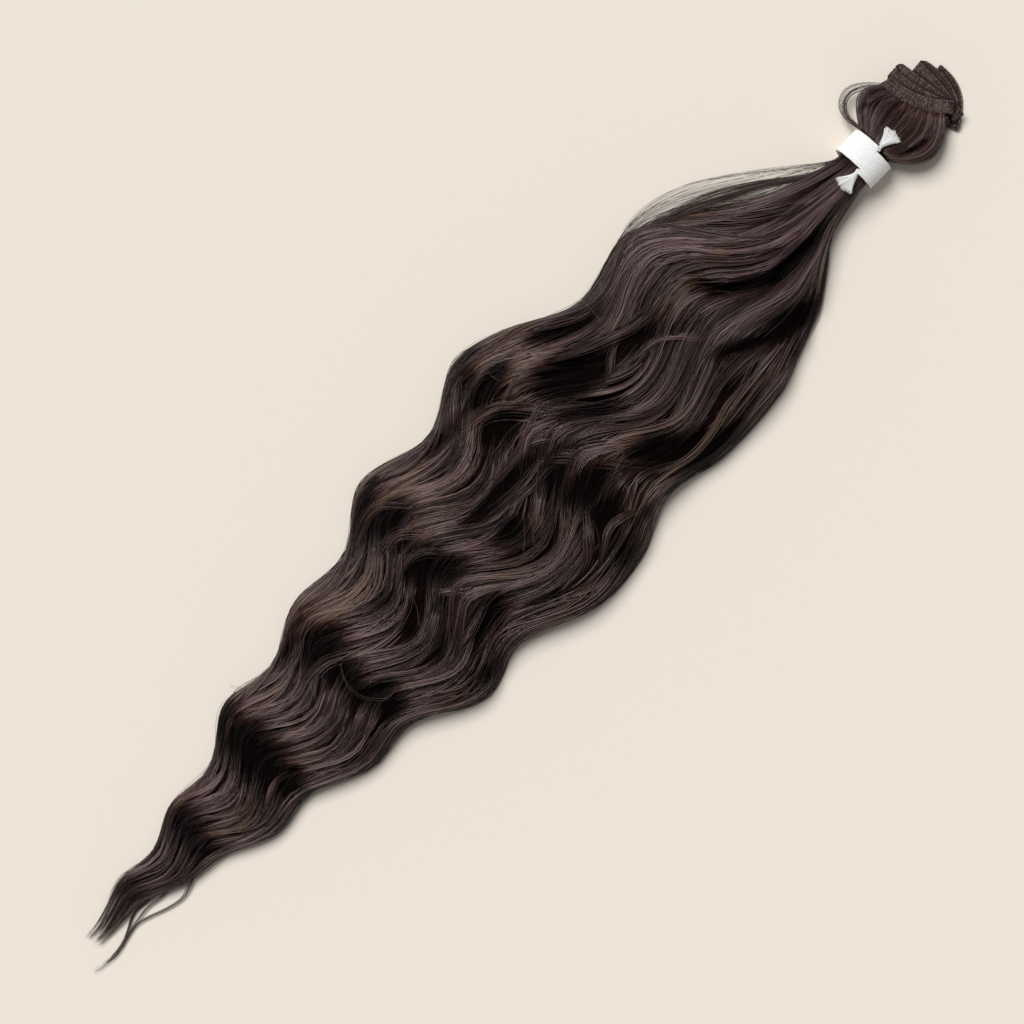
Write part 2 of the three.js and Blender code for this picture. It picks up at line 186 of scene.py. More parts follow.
# Loose locks that leave the fall, from root to tip: points (along, across, height), half widths, strands
STRAYS = (
    (((66, -13, 4), (57, -17.5, 2.6), (49, -20, 1.8), (39, -18.2, 1.6), (28, -14.4, 1.6), (20, -12.6, 1.6),
      (11, -14, 1.5), (0, -16.6, 1.3), (-11, -16, 1.0), (-20, -14, 0.8)),
     (2.5, 1.4, 0.8, 0.7, 0.7, 0.7, 0.9, 1.2, 1.4, 1.6), 13),
    (((62, -8, 4), (50, -11, 3), (41, -11.5, 2.2), (32, -10.2, 1.8), (24, -11, 1.6), (14, -13, 1.5),
      (2, -16, 1.3), (-8, -16.2, 1.0)), (2.0, 1.3, 0.8, 0.7, 0.7, 0.8, 1.1, 1.5), 6),
    (((60, -4, 5), (46, -6.5, 3.5), (36, -7.6, 2.4), (26, -6.8, 1.9), (20, -8.2, 1.7), (14, -11.5, 1.6),
      (6, -15, 1.4), (-4, -16.4, 1.2), (-12, -15.5, 1.0)),
     (2.5, 1.6, 1.0, 0.9, 0.9, 0.9, 1.0, 1.2, 1.5), 11),
    (((622, 15, 16), (600, 22, 15), (575, 40, 11), (552, 54, 8), (530, 62, 6), (505, 67.5, 5),
      (470, 64, 4.5)), (0.8, 1.0, 1.6, 2.2, 2.2, 2.0, 1.6), 30),
    (((622, 14, 17), (600, 21, 16), (578, 35, 13), (555, 47.5, 10), (535, 57, 8), (512, 63, 7),
      (480, 63, 7)), (0.8, 1.0, 1.8, 2.4, 2.6, 2.4, 2.0), 34),
    (((618, -3.2, 12), (585, -11, 8), (572, -20.5, 6), (560, -29.5, 4.5), (549, -37, 3.5), (536, -42, 3.5),
      (515, -48.5, 4), (490, -54, 4)), (0.8, 0.9, 1.0, 1.0, 1.1, 1.5, 2.0, 2.0), 26),
)

# The loop of loose roots beside the tie, as the strays are given
ROOT_LOOP = (((641, 14, 15), (639, 22, 12), (639, 30, 9), (642, 36.5, 8), (648, 39.5, 8), (654, 38.5, 8.5),
              (660, 34.5, 10.5), (665, 29.5, 13.3), (667, 27, 13.6)),
             (0.9, 1.2, 1.8, 2.6, 3.0, 2.8, 2.3, 1.8, 1.4), 34)

# Where single hairs stand off the fan beside the tie: outer and inner course, along and across
FAN_HAIRS = (
    ((622, 14), (608, 23), (592, 36), (575, 49), (546, 68), (517.5, 76.5), (494.5, 73.6), (470, 66)),
    ((622, 13), (608, 19), (592, 26), (575, 33), (546, 48), (517.5, 64), (494.5, 69), (470, 63)),
)

# Single pale hairs that lie over the fall: points (along, across)
PALE_HAIRS = (
    ((397, 87), (391, 79), (387.5, 70), (389, 59)),
    ((211, 12), (206.5, 5), (204.5, -3), (206, -11), (211, -18), (216, -21.5), (222, -21), (226, -18)),
    ((331, -16), (338, -10), (345, -2), (350, 1)), ((338, -17), (344, -10), (347, -3)),
    ((474, -54), (482, -52), (488, -49), (491, -46)), ((257, -4), (263, 3), (267, 10)),
    ((513, 13), (517, 8), (520, 2)), ((456, 61), (455, 52), (453, 42)),
    ((163, 38), (159, 42), (156, 46), (155, 50)),
)

# Hollows among the roots, as among the locks
ROOT_HOLLOWS = (
    (645, -5, 5, 1.5, -0.6, 1.8), (653, -9.5, 8, 1.3, -0.15, 1.7), (652, 26.3, 9, 0.7, -0.22, 1.5),
    (648, 3, 5, 0.6, 0.3, 1.2),
)

# Track layers from the top down: seam's left end, right end (along, across), bow away from the tie
LAYERS = (
    (664.5, 29.5, 680.5, -9, -4),
    (670, 29, 681.2, -10.2, -2.6),
    (675.3, 28, 680.7, -12, 0.2),
    (683.5, 22, 679.6, -12.7, 1.6),
    (687.2, 18.2, 678, -12.2, 4.6),
    (691.5, 13, 677, -11, 6),
)
TRACK = {"width": 8.0, "thickness": 1.8, "pitch": 2.4}

# Rows of stitches on each face of the track: share of the half width, reach of the zigzag, radius
TRACK_STITCHES = ((-0.7, 0.26, 0.2), (-0.3, 0.06, 0.2), (0.2, 0.07, 0.2), (0.82, 0.02, 0.34))
STITCH_STEP = 0.55
STITCH_GUIDE = (0.31, 0.22, 0.92)  # lies along no stitch, so that their sections don't flip
GROOVE = (0.2, 2.2)  # where the shade beside a higher layer's edge begins and ends

CORD = {"radius": 1.5, "turns": 6, "pitch": 3.3, "clearance": 0.65, "start": 619.6,
        "first_angle": 0.56 * math.pi}
CORD_LEAN = (2.6, 0.6, 0.2)  # how the cord's two ends leave the turns
CORD_GUIDE = (1.0, 0.0, 0.3)

# Yarns of the cord: place beside its middle line, place out from it, radius, swell
YARNS = ((-0.69, 0.68, 0.82, 0.05), (0.69, 0.68, 0.82, -0.05), (0.0, -0.2, 1.2, 0.0))

# Loose yarn at the cord's ends; the fan is counted each way from its middle
FRAY = {"fan": 2.15, "opening": 2.7, "reach": 11.2, "rounding": 0.9, "radius": (0.2, 0.32)}

# The crown of roots between the tie and the top seam; puff is where its left and right sides are drawn to
CROWN = {"half_width": 10.9, "into_tie": 3.0, "top": 21.6, "over_seam": 0.6, "lap": 0.8, "seam_middle": 4.0}
CROWN_PUFF = ((652, 46), (656, -36))

# Roots at the sides: where they leave the tie, and where their left and right are drawn to
SIDE_ROOTS = {"along": 637.0, "off_middle": (9, 11), "height": 12.0, "puff_along": 654.0,
              "puff_across": (35.0, -26.0)}

# Inside of the hair, dark with painted shade: where it starts, where and how far it is rounded, and how it
# lies in the strands
MASS = {"tips": 26.0, "rounded": (25.8, 40.0), "share": 0.96, "below": 2.4, "hollows": 0.45,
        "roots_below": 1.3}

# Strands of a lock
LOCK = {
    "uneven_tips": 15.0,
    "into_tie": 6.0,
    "gathered": (560, 612),  # where the locks draw together into the tie
    "full_spread": 140.0,  # width of the fall at which a lock has its full width
    "wisps": 6,
    "wander": (150, 320),  # length over which a strand wanders across its lock
    "mixed_tips": (15, 90),  # where the tips stop being mixed across the lock
    "own_wave": (70, 150),  # length of the waves that only one lock has
    "bridging": 0.14,  # share of strands that bridge the hollows
    "bridged": 0.6,  # how far those still sink
    "sunk": (-1.8, 0.1),
    "radius": (0.15, 0.34),
    "thinning": 70.0,  # length over which a strand thins to its tip
}
FALL_PIECES = 4  # pieces that the fall is split into, to keep each one small

# Strands of a lock that crosses on top; they are counted for each millimetre of its half width
RIDGE = {"per_mm": 9, "steps": 26, "fullness": 1.25, "lift": 0.6, "tucked": 5.0, "sunk": (-1.2, 0.2),
         "radius": (0.15, 0.3)}
ROOT_STEPS = 16
STRAY_STEPS = 30
SINGLE_STEPS = 22

# The stage, in metres and degrees; the aim is the point that the camera hangs over
STAGE = {
    "floor": 40.0, "floor_gap": 0.0005, "sky": 0.22, "sun": 2.9, "sun_spread": 32, "sun_lean": (-32, 0, -10),
    "aim": (0.0005, -0.0051, 0.012), "distance": 2.2, "view": 0.5888, "turn": -44.67, "film_mm": 36,
    "reach": 50,
}


def linear(code):
    """An sRGB hex colour as linear RGBA."""
    values = [int(code[i:i + 2], 16) / 255 for i in (1, 3, 5)]
    return (*[v / 12.92 if v <= 0.04045 else ((v + 0.055) / 1.055) ** 2.4 for v in values], 1.0)


def smoothstep(x, low, high):
    t = np.clip((x - low) / (high - low), 0, 1)
    return t * t * (3 - 2 * t)


def read(x, y, at):
    """A smooth curve through the points x, y, read at any number of places."""
    x, y, at = np.asarray(x, float), np.asarray(y, float), np.asarray(at, float)
    before, after = np.maximum(np.arange(len(x)) - 1, 0), np.minimum(np.arange(len(x)) + 1, len(x) - 1)
    slope = (y[after] - y[before]) / (x[after] - x[before])
    i = np.clip(np.searchsorted(x, at, side="right") - 1, 0, len(x) - 2)
    run = x[i + 1] - x[i]
    t = np.clip((at - x[i]) / run, 0, 1)
    rise = smoothstep(t, 0, 1)
    return (1 - rise) * y[i] + rise * y[i + 1] + run * t * (1 - t) * ((1 - t) * slope[i] - t * slope[i + 1])


def fall(along):
    """Left edge, right edge and crest height of the fall."""
    rows = np.array(FALL, float)
    return [read(rows[:, 0], rows[:, k], along) for k in (1, 2, 3)]


def wave_phase(along, share):
    """How many waves lie below a place, whole at each crest; share 1 is the left edge, 0 the right."""
    left, right = [read(row, np.arange(len(row)), along) for row in CRESTS]
    return share * left + (1 - share) * right


def sway(along, share):
    """Sideways swing of the inner locks: steep past each crest, then a slow rise to the next."""
    reach = read(*zip(*SWAY), along) * (1 - np.abs(2 * share - 1) ** 2)
    phase = wave_phase(along, share) % 1
    falling = np.cos(math.pi * np.clip(phase / FALLING, 0, 1) ** 0.8)
    rise = np.clip((phase - FALLING) / (1 - FALLING), 0, 1)
    return reach * np.where(phase < FALLING, falling, rise ** 1.6 - (1 + np.cos(math.pi * rise)) / 2)


def crowded(share, along):
    """Where a share of the fall's width lies: near the tie most of the hair draws to the right."""
    rows = np.array(CROWDING)
    first, second = CROWDED_SHARES
    low, high = [read(rows[:, 0], rows[:, k], along) for k in (1, 2)]
    inner = low + (share - first) * (high - low) / (second - first)
    outer = high + (share - second) * (1 - high) / (1 - second)
    return np.where(share < first, share * low / first, np.where(share < second, inner, outer))


def hollowed(rows, along, across, deep, slip):
    """How much the hollows of a table take from the height; deep scales each hollow, slip moves it."""
    hollow = np.zeros(np.broadcast(along, across).shape)
    for k, (at, side, half_long, half_wide, slope, depth) in enumerate(rows):
        ahead = along - at - slip
        away = (ahead / half_long) ** 2 + ((across - side - slope * ahead) / half_wide) ** 2
        hollow += depth * deep[..., k] * np.exp(-(away / 1.9) ** 2)
    return hollow


def surface(along, across, deep, slip, most=0.85):
    """Height of the hair, and how much of it the hollows take, at most a given share."""
    left, right, crest = fall(along)
    hollow = np.minimum(hollowed(HOLLOWS, along, across, deep, slip), most * crest)
    top = crest - hollow
    edge_ness = np.clip(np.abs((2 * across - left - right) / np.maximum(left - right, 1e-6)), 0, 1)
    edge = np.minimum(EDGE_HEIGHT, 0.4 * top)
    lying = edge + (top - edge) * (1 - edge_ness ** 2.4) ** (1 / 2.4)
    gathered = NECK["height"] + NECK["half_height"] * np.sqrt(1 - edge_ness ** 2)
    return lying + (gathered - lying) * smoothstep(along, NECK["gathers"], NECK["from"]), hollow


def seam(row, share, offset=0.0):
    """A track layer's seam: points in plan, direction, and the way from the tie, which offset follows."""
    left, right = np.array(row[0:2], float), np.array(row[2:4], float)
    chord = right - left
    out = np.array((-chord[1], chord[0])) / np.linalg.norm(chord)
    share = np.asarray(share, float)[..., None]
    run = chord + out * row[4] * 4 * (1 - 2 * share)
    run = run / np.linalg.norm(run, axis=-1, keepdims=True)
    away = np.stack((-run[..., 1], run[..., 0]), axis=-1)
    return left + chord * share + out * row[4] * 4 * share * (1 - share) + away * offset, run, away


def layer_height(k):
    return TRACK["thickness"] / 2 + (len(LAYERS) - 1 - k) * TRACK["pitch"]


def bent(start, by, end, part):
    """Points on a curve from start to end that is drawn toward a third point."""
    return (1 - part) ** 2 * start + 2 * part * (1 - part) * by + part ** 2 * end


def crown(share, reach):
    """The roots from the tie (reach 0) to the top seam (1): plan, and lowest, middle and top height."""
    across = NECK["across"] + CROWN["half_width"] * (1 - 2 * share)
    start = np.stack((np.full(share.shape, NECK["to"] - CROWN["into_tie"]), across), axis=-1)
    left, right = np.array(CROWN_PUFF)
    puff = left + (right - left) * share[..., None]
    plan = bent(start, puff, seam(LAYERS[0], share, CROWN["lap"])[0], reach[..., None])
    top = CROWN["top"] + (layer_height(0) + CROWN["over_seam"] - CROWN["top"]) * reach ** 2.2
    bottom = (NECK["height"] - NECK["half_height"] + 0.3) * (1 - smoothstep(reach, 0, 0.6))
    middle = (top + bottom) / 2 * (1 - reach) + (bottom + CROWN["seam_middle"]) * reach
    return plan, bottom, middle, top


def lengths(points):
    """How far along a line each of its points lies."""
    return np.concatenate(([0], np.cumsum(np.linalg.norm(np.diff(points, axis=0), axis=1))))


def repeated(values, like):
    """Values repeated over each strand and step of another array."""
    return np.broadcast_to(values, np.broadcast(values, like).shape)


def raised(plan, height):
    """Points in plan, each with its height."""
    return np.concatenate((plan, height[..., None]), axis=-1)


def gather(groups):
    """Paths, radii and tints of many groups of strands, each joined into one array."""
    return [np.concatenate(parts) for parts in zip(*groups)]


# Meshes

UP = (0.0, 0.0, 1.0)


def add_object(name, verts, faces_of, material):
    """A piece from vertices in millimetres and faces of one or more sizes, smooth shaded."""
    mesh = bpy.data.meshes.new(name)
    verts = (np.asarray(verts) - ORIGIN) * MM
    mesh.vertices.add(len(verts))
    mesh.vertices.foreach_set("co", verts.astype(np.float32).ravel())
    loops = np.concatenate([np.asarray(f, np.int32).ravel() for f in faces_of])
    totals = np.concatenate([np.full(len(f), np.asarray(f).shape[1], np.int32) for f in faces_of])
    starts = np.concatenate(([0], np.cumsum(totals)[:-1])).astype(np.int32)
    mesh.loops.add(len(loops))
    mesh.loops.foreach_set("vertex_index", loops)
    mesh.polygons.add(len(totals))
    mesh.polygons.foreach_set("loop_start", starts)
    mesh.polygons.foreach_set("loop_total", totals)
    mesh.polygons.foreach_set("use_smooth", np.ones(len(totals), bool))
    mesh.update(calc_edges=True)
    mesh.validate()
    piece = bpy.data.objects.new(name, mesh)
    bpy.context.collection.objects.link(piece)
    mesh.materials.append(material)
    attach(piece, "root")
    return piece


def bar(name, sides, rings):
    """A capped bar cut into rings, to be shaped, with the place of its points along and round it."""
    bpy.ops.object.select_all(action="DESELECT")
    bpy.ops.mesh.primitive_cylinder_add(vertices=sides, radius=1, depth=2)
    piece = bpy.context.object
    piece.name = piece.data.name = name
    bpy.ops.object.mode_set(mode="EDIT")
    bpy.ops.mesh.select_mode(type="EDGE")
    bpy.ops.mesh.select_all(action="DESELECT")
    edit = bmesh.from_edit_mesh(piece.data)
    for edge in edit.edges:
        edge.select_set(abs(edge.verts[0].co.z - edge.verts[1].co.z) > 1)
    bmesh.update_edit_mesh(piece.data)
    bpy.ops.mesh.subdivide_edgering(number_cuts=rings - 2, interpolation="LINEAR")
    bpy.ops.object.mode_set(mode="OBJECT")
    bpy.ops.object.shade_smooth()
    points = np.empty(len(piece.data.vertices) * 3, np.float32)
    piece.data.vertices.foreach_get("co", points)
    points = points.reshape(-1, 3).astype(float)
    return piece, (points[:, 2] + 1) / 2, np.arctan2(points[:, 1], points[:, 0])


def shape(piece, verts, material, node, shade=None):
    """Puts a bar's points in place, in millimetres, and lets it stand for a node."""
    mesh = piece.data
    mesh.vertices.foreach_set("co", ((verts - ORIGIN) * MM).astype(np.float32).ravel())
    if shade is not None:
        mesh.attributes.new("tint", "FLOAT", "POINT").data.foreach_set("value", shade.astype(np.float32))
    mesh.update()
    mesh.materials.append(material)
    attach(piece, "root")
    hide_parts(node)


def tubes(paths, radii, sides, guide):
    """Closed tapered tubes along many paths, first corners toward a guide: vertices and faces."""
    count, steps = paths.shape[:2]
    along = np.gradient(paths, axis=1)
    along /= np.linalg.norm(along, axis=2, keepdims=True) + 1e-12
    side = np.cross(np.array(guide), along)
    side /= np.linalg.norm(side, axis=2, keepdims=True) + 1e-9
    up = np.cross(along, side)
    turn = np.arange(sides) * math.tau / sides + math.pi / 2
    ring = np.cos(turn)[:, None] * side[:, :, None] + np.sin(turn)[:, None] * up[:, :, None]
    verts = paths[:, :, None] + radii[:, :, None, None] * ring
    index = np.arange(count * steps * sides).reshape(count, steps, sides)
    after = np.roll(index, -1, axis=2)
    quads = np.stack((index[:, :-1], after[:, :-1], after[:, 1:], index[:, 1:]), axis=-1).reshape(-1, 4)
    caps = np.concatenate((index[:, 0, ::-1], index[:, -1]))
    return verts.reshape(-1, 3), (quads, caps)


def strand_piece(name, paths, radii, tints, material, slot, node, sides=3, guide=UP):
    """Many strands as one piece, with a tint at each step and a map that gives each strand a column."""
    count, steps = paths.shape[:2]
    verts, faces = tubes(paths, radii, sides, guide)
    piece = add_object(name, verts, faces, material)
    mesh = piece.data
    tint = mesh.attributes.new("tint", "FLOAT", "POINT")
    tint.data.foreach_set("value", np.repeat(tints.ravel(), sides).astype(np.float32))
    corner = np.empty(len(mesh.loops), np.int32)
    mesh.loops.foreach_get("vertex_index", corner)
    strand, rest = np.divmod(corner, steps * sides)
    column = (strand + 0.15 + 0.7 * (rest % sides) / sides) / count
    place = np.stack((column, (rest // sides) / (steps - 1)), axis=1)
    layer = mesh.uv_layers.new(name="OFBake")
    layer.uv.foreach_set("vector", place.astype(np.float32).ravel())
    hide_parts(node)


# Materials

def add_node(tree, kind, settings=None, inputs=None):
    """Adds a node, sets it up and links the inputs that are sockets."""
    node = tree.nodes.new(kind)
    for key, value in (settings or {}).items():
        setattr(node, key, value)
    for key, value in (inputs or {}).items():
        if isinstance(value, bpy.types.NodeSocket):
            tree.links.new(value, node.inputs[key])
        else:
            node.inputs[key].default_value = value
    return node


def new_material(name):
    material = bpy.data.materials.new(name)
    material.use_nodes = True
    material.node_tree.nodes.clear()
    return material, material.node_tree


def finish_material(material, inputs):
    tree = material.node_tree
    shader = add_node(tree, "ShaderNodeBsdfPrincipled", inputs=inputs)
    add_node(tree, "ShaderNodeOutputMaterial", inputs={"Surface": shader.outputs[0]})
    return material


def tint_of(tree):
    """The tint that a piece carries at each point; on the hair and the track it holds painted shade as well
    as tone, and on the locks a painted highlight.
    """
    return add_node(tree, "ShaderNodeAttribute", {"attribute_name": "tint"}).outputs["Fac"]


def noise(tree, *sizes, detail=2.0):
    """Noise in spots of a size in millimetres, or in streaks of a size along, across and up."""
    place = add_node(tree, "ShaderNodeTexCoord").outputs["Object"]
    scales = [1 / (size * MM) for size in sizes]
    if len(scales) > 1:
        place = add_node(tree, "ShaderNodeMapping", inputs={"Vector": place, "Scale": scales}).outputs[0]
        scales = [1.0]
    return add_node(tree, "ShaderNodeTexNoise", inputs={
        "Vector": place, "Scale": scales[0], "Detail": detail}).outputs["Fac"]


def product(tree, first, second):
    return add_node(tree, "ShaderNodeMath", {"operation": "MULTIPLY"}, {0: first, 1: second}).outputs[0]


def ramp(tree, value, first, last, *between):
    """Colours that a value runs through, each given with its place."""
    node = add_node(tree, "ShaderNodeValToRGB", inputs={"Fac": value})
    elements = node.color_ramp.elements
    elements[0].position, elements[0].color = first
    elements[1].position, elements[1].color = last
    for at, shade in between:
        elements.new(at).color = shade
    return node.outputs[0]


def relief(tree, height, strength, depth):
    """Fine relief, with its depth in millimetres."""
    return add_node(tree, "ShaderNodeBump", inputs={
        "Height": height, "Strength": strength, "Distance": depth * MM}).outputs[0]


def hair_fibre(settings):
    """Hair: smooth round fibre of a dark warm brown with a soft sheen, tinged gold or plum in patches."""
    material, tree = new_material("hair_fibre")
    tint = tint_of(tree)
    brown = ramp(tree, tint, (0, settings.hair_dark), (1, settings.hair_light), (0.5, settings.hair_mid))
    hue = ramp(tree, noise(tree, 180, 14, 20), (0.36, linear("#bcafc0")), (0.62, linear("#c2b688")),
               (0.5, linear("#bcbab9")))
    mixed = add_node(tree, "ShaderNodeMix", {"data_type": "RGBA", "blend_type": "SOFT_LIGHT"}, {
        "Factor": 0.6, "A": brown, "B": hue})
    gloss = add_node(tree, "ShaderNodeMapRange", inputs={
        "Value": tint, "From Max": 0.3, "To Min": 0.95, "To Max": 0.36})
    return finish_material(material, {"Base Color": mixed.outputs["Result"], "Roughness": gloss.outputs[0],
                                      "IOR": 1.55, "Specular Tint": linear("#f4e6e3")})


def hair_shade(settings):
    """Hair deep in the fall: matted fibre with faint streaks, coloured near black as painted shade, since
    little light reaches it.
    """
    material, tree = new_material("hair_shade")
    fibre = noise(tree, 30, 0.8, 0.8, detail=3.0)
    shown = product(tree, fibre, tint_of(tree))
    # Painted shade: the ramp's near-black end, reached where the tint is low
    shade = ramp(tree, shown, (0.1, linear("#060202")), (1, settings.hair_mid))
    return finish_material(material, {"Base Color": shade, "Roughness": 0.85, "Specular IOR Level": 0.03,
                                      "Normal": relief(tree, fibre, 0.5, 0.4)})


def track_thread(settings):
    """Sewn roots and polyester thread: matt, mottled olive and brown from stitch to stitch."""
    material, tree = new_material("track_thread")
    shown = product(tree, noise(tree, 1.1, detail=3.0), tint_of(tree))
    mottled = ramp(tree, shown, (0, settings.hair_dark), (1, settings.thread), (0.35, settings.hair_mid))
    return finish_material(material, {"Base Color": mottled, "Roughness": 0.62,
                                      "Specular Tint": linear("#ffe9e0")})


def cotton(settings):
    """Soft cotton yarn: matt white, faintly mottled by fine fibres, and lit from within."""
    material, tree = new_material("cotton_yarn")
    fibre = noise(tree, 0.5, detail=4.0)
    white = ramp(tree, fibre, (0.3, linear("#f7f6f3")), (0.6, settings.cotton))
    return finish_material(material, {
        "Base Color": white, "Roughness": 0.9, "Sheen Weight": 0.2, "Subsurface Weight": 0.25,
        "Subsurface Radius": (1.0, 1.0, 1.0), "Subsurface Scale": 2.5 * MM,
        "Normal": relief(tree, fibre, 0.35, 0.2)})


def painted_board(settings):
    """Matt painted board: even and pale, with the faint unevenness of a roller."""
    material, tree = new_material("painted_board")
    return finish_material(material, {"Base Color": settings.floor, "Roughness": 0.9,
                                      "Normal": relief(tree, noise(tree, 6), 0.05, 0.1)})


# Hair

LYING = 0.2  # least gap between a strand and the table
STATIONS = (0, 110, 250, 390, 500, 640)
PLACES = np.linspace(-40, NECK["to"], 1400)
CLOSENESS = np.cumsum(1 + sum(0.7 * np.exp(-((PLACES - bend) / 16) ** 2) for bend in BENDS))


def steps_between(start, end, steps):
    """Steps along the fall, closest together where the strands bend most."""
    first, last = np.interp(start, PLACES, CLOSENESS), np.interp(end, PLACES, CLOSENESS)
    return np.interp(first + (last - first) * np.linspace(0, 1, steps), CLOSENESS, PLACES)


def lock_strands(rng, share, width, rise, ends, count, steps, bridge, swing):
    """One lock's strands from their tips to the tie: paths, radii and tints."""
    tip = ends + np.abs(rng.normal(0, LOCK["uneven_tips"], (count, 1)))
    along = steps_between(tip, NECK["from"] + LOCK["into_tie"], steps)
    deep = bridge * np.clip(rng.normal(1.0, 0.18, len(HOLLOWS)), 0.45, 1.4)
    deep = deep + rng.normal(0, 0.05, (count, 1, len(HOLLOWS)))
    deep = deep * np.where(rng.uniform(0, 1, (count, 1, 1)) < LOCK["bridging"], LOCK["bridged"], 1)
    slip = rng.normal(0, 1.6) + rng.normal(0, 1.0, (count, 1))
    left, right, _ = fall(along)
    spread = left - right
    loose = 1 - smoothstep(along, *LOCK["gathered"])
    wisps = rng.uniform(-1, 1, LOCK["wisps"])
    aside = (rng.choice(wisps, count) + rng.normal(0, 0.1, count))[:, None]
    drift = along / rng.uniform(*LOCK["wander"], (count, 1)) + rng.uniform(0, 1, (count, 1))
    aside = aside + 0.24 * np.sin(math.tau * drift)
    aside = aside + (rng.uniform(-1, 1, (count, 1)) - aside) * (1 - smoothstep(along, *LOCK["mixed_tips"]))
    middle = crowded(read(STATIONS, share, along), along)
    shift = rng.normal(0, 5)
    phase = wave_phase(along + shift, middle)
    pinch = 1 + 0.22 * np.cos(math.tau * (phase + rng.uniform(-0.2, 0.2)))
    half = width * np.clip(spread / LOCK["full_spread"], 0.24, 1.1) * pinch
    half = half * (0.6 + 0.4 * smoothstep(along, ends - 10, ends + 70))
    wave = sway(along + shift, middle)
    own = rng.normal(0, 1.2) * np.sin(math.tau * (phase + rng.uniform(-0.15, 0.15)))
    reach = rng.normal(0, 1.8)
    own = own + reach * np.sin(math.tau * (along / rng.uniform(*LOCK["own_wave"]) + rng.uniform(0, 1)))
    own = own * loose * smoothstep(along, 20, 160)
    across = (left + right) / 2 + spread * (middle - 0.5) + swing * wave + own + half * aside
    fringe = rng.normal(0, 0.8, (count, 1)) * loose
    beyond = np.maximum(across - left, right - across).clip(0)
    across = np.clip(across, right + fringe, left + fringe)
    height, hollow = surface(along, across, deep, slip)
    bulge = 0.45 * half * (np.sqrt(np.clip(1 - aside ** 2, 0, 1)) - 0.7)
    sunk = rng.uniform(*LOCK["sunk"], (count, 1))
    tuck = 1.3 * np.cos(math.tau * (phase - 0.22))
    tuck = tuck * smoothstep(along, 60, 160) * (1 - smoothstep(along, 470, 530))
    height = height + (rise + bulge + sunk) * (0.2 + 0.8 * loose) + tuck - 0.8 * beyond * loose
    radius = rng.uniform(*LOCK["radius"], (count, 1)) * (0.35 + 0.65 * loose)
    radius = radius * (0.2 + 0.8 * smoothstep(along, tip, tip + LOCK["thinning"]))
    # Thinner in the hollows, so that more of the dark mass, whose colour is painted shade, shows there
    radius = radius * (1 - 0.72 * smoothstep(hollow, 2.0, 6.0))
    height = np.maximum(height, radius + LYING)
    # Painted light in the tint: a painted highlight on the tie side of each crest and painted shade half a
    # wave on, painted shade on strands that lie lower in the lock, and painted shade in the hollows
    sheen = 0.2 * np.cos(math.tau * (phase - 0.24)) * (along < 500)
    tint = rng.normal(0.55, 0.14) + rng.normal(0, 0.25, (count, 1)) + 0.18 * sunk + sheen
    tint = np.clip(tint, 0.05, 1) * (1 - 0.98 * np.clip(hollow / 4.4, 0, 1))
    return np.stack((along, across, height), axis=-1), radius, tint


def drawn(points, at):
    """A smooth course through given points, read at shares of its length."""
    points = np.array(points, float)
    places = np.arange(len(points))
    at = at * (len(points) - 1)
    return np.stack([read(places, points[:, k], at) for k in range(points.shape[1])], axis=-1)


def heading(course):
    """The way that a course runs in plan, at each of its steps."""
    run = np.gradient(course[..., :2], axis=1)
    return run / (np.linalg.norm(run, axis=-1, keepdims=True) + 1e-9)


def tress(rng, row, steps, radius):
    """A thin lock of strands along a drawn course, its tips uneven."""
    points, half_widths, count = row
    at = np.linspace(0, 1, steps) * rng.uniform(0.8, 1.0, (count, 1))
    course = drawn(points, at)
    half = drawn(np.array(half_widths)[:, None], at)[..., 0]
    run = heading(course)
    turn = rng.uniform(0, math.tau, (count, 1))
    off = np.sqrt(rng.uniform(0, 1, (count, 1))) + 0.25 * np.sin(5 * at + turn)
    side, up = half * off * np.cos(turn), 0.6 * half * off * np.sin(turn)
    paths = course + np.stack((-run[..., 1] * side, run[..., 0] * side, up), axis=-1)
    radii = radius * rng.uniform(0.6, 1.2, (count, 1)) * (1 - 0.6 * np.linspace(0, 1, steps) ** 3)
    paths[..., 2] = np.maximum(paths[..., 2], radii + LYING)
    return paths, radii, repeated(np.clip(rng.normal(0.45, 0.18, (count, 1)), 0.03, 1), at)


def ridge_strands(rng, row):
    """A lock that crosses on top of the fall, its two ends tucked under the others."""
    points, half, bright = row
    count = int(RIDGE["per_mm"] * half)
    first, last = rng.uniform(0, 0.16, (count, 1)), rng.uniform(0.84, 1, (count, 1))
    place = np.linspace(0, 1, RIDGE["steps"])[None]
    at = first + (last - first) * place
    course = drawn(points, at)
    run = heading(course)
    shown = np.sin(math.pi * np.clip(place, 0.02, 0.98)) ** 0.6
    aside = rng.normal(0, 0.6, (count, 1))
    aside = aside + 0.3 * np.sin(rng.uniform(3, 7, (count, 1)) * at + rng.uniform(0, 6, (count, 1)))
    side = RIDGE["fullness"] * half * (0.6 + 0.4 * shown) * aside
    along, across = course[..., 0] - run[..., 1] * side, course[..., 1] + run[..., 0] * side
    deep = np.full((1, 1, len(HOLLOWS)), rng.uniform(0.2, 0.4))
    height, hollow = surface(along, across, deep, 0.0)
    sunk = rng.uniform(*RIDGE["sunk"], (count, 1))
    bulge = 0.25 * half * (np.sqrt(np.clip(1 - aside ** 2, 0, 1)) - 0.3)
    height = height + RIDGE["lift"] + bulge + sunk - RIDGE["tucked"] * (1 - shown)
    radii = rng.uniform(*RIDGE["radius"], (count, 1)) * (0.5 + 0.5 * shown)
    # Painted shade in the tint: darker on strands that lie lower, toward the tucked ends and in the hollows
    tints = bright + rng.normal(0, 0.2, (count, 1)) + 0.18 * sunk
    tints = np.clip(tints, 0.05, 1) * (0.35 + 0.65 * shown) * (1 - 0.9 * np.clip(hollow / 8, 0, 1))
    return np.stack((along, across, np.maximum(height, radii + LYING)), axis=-1), radii, tints


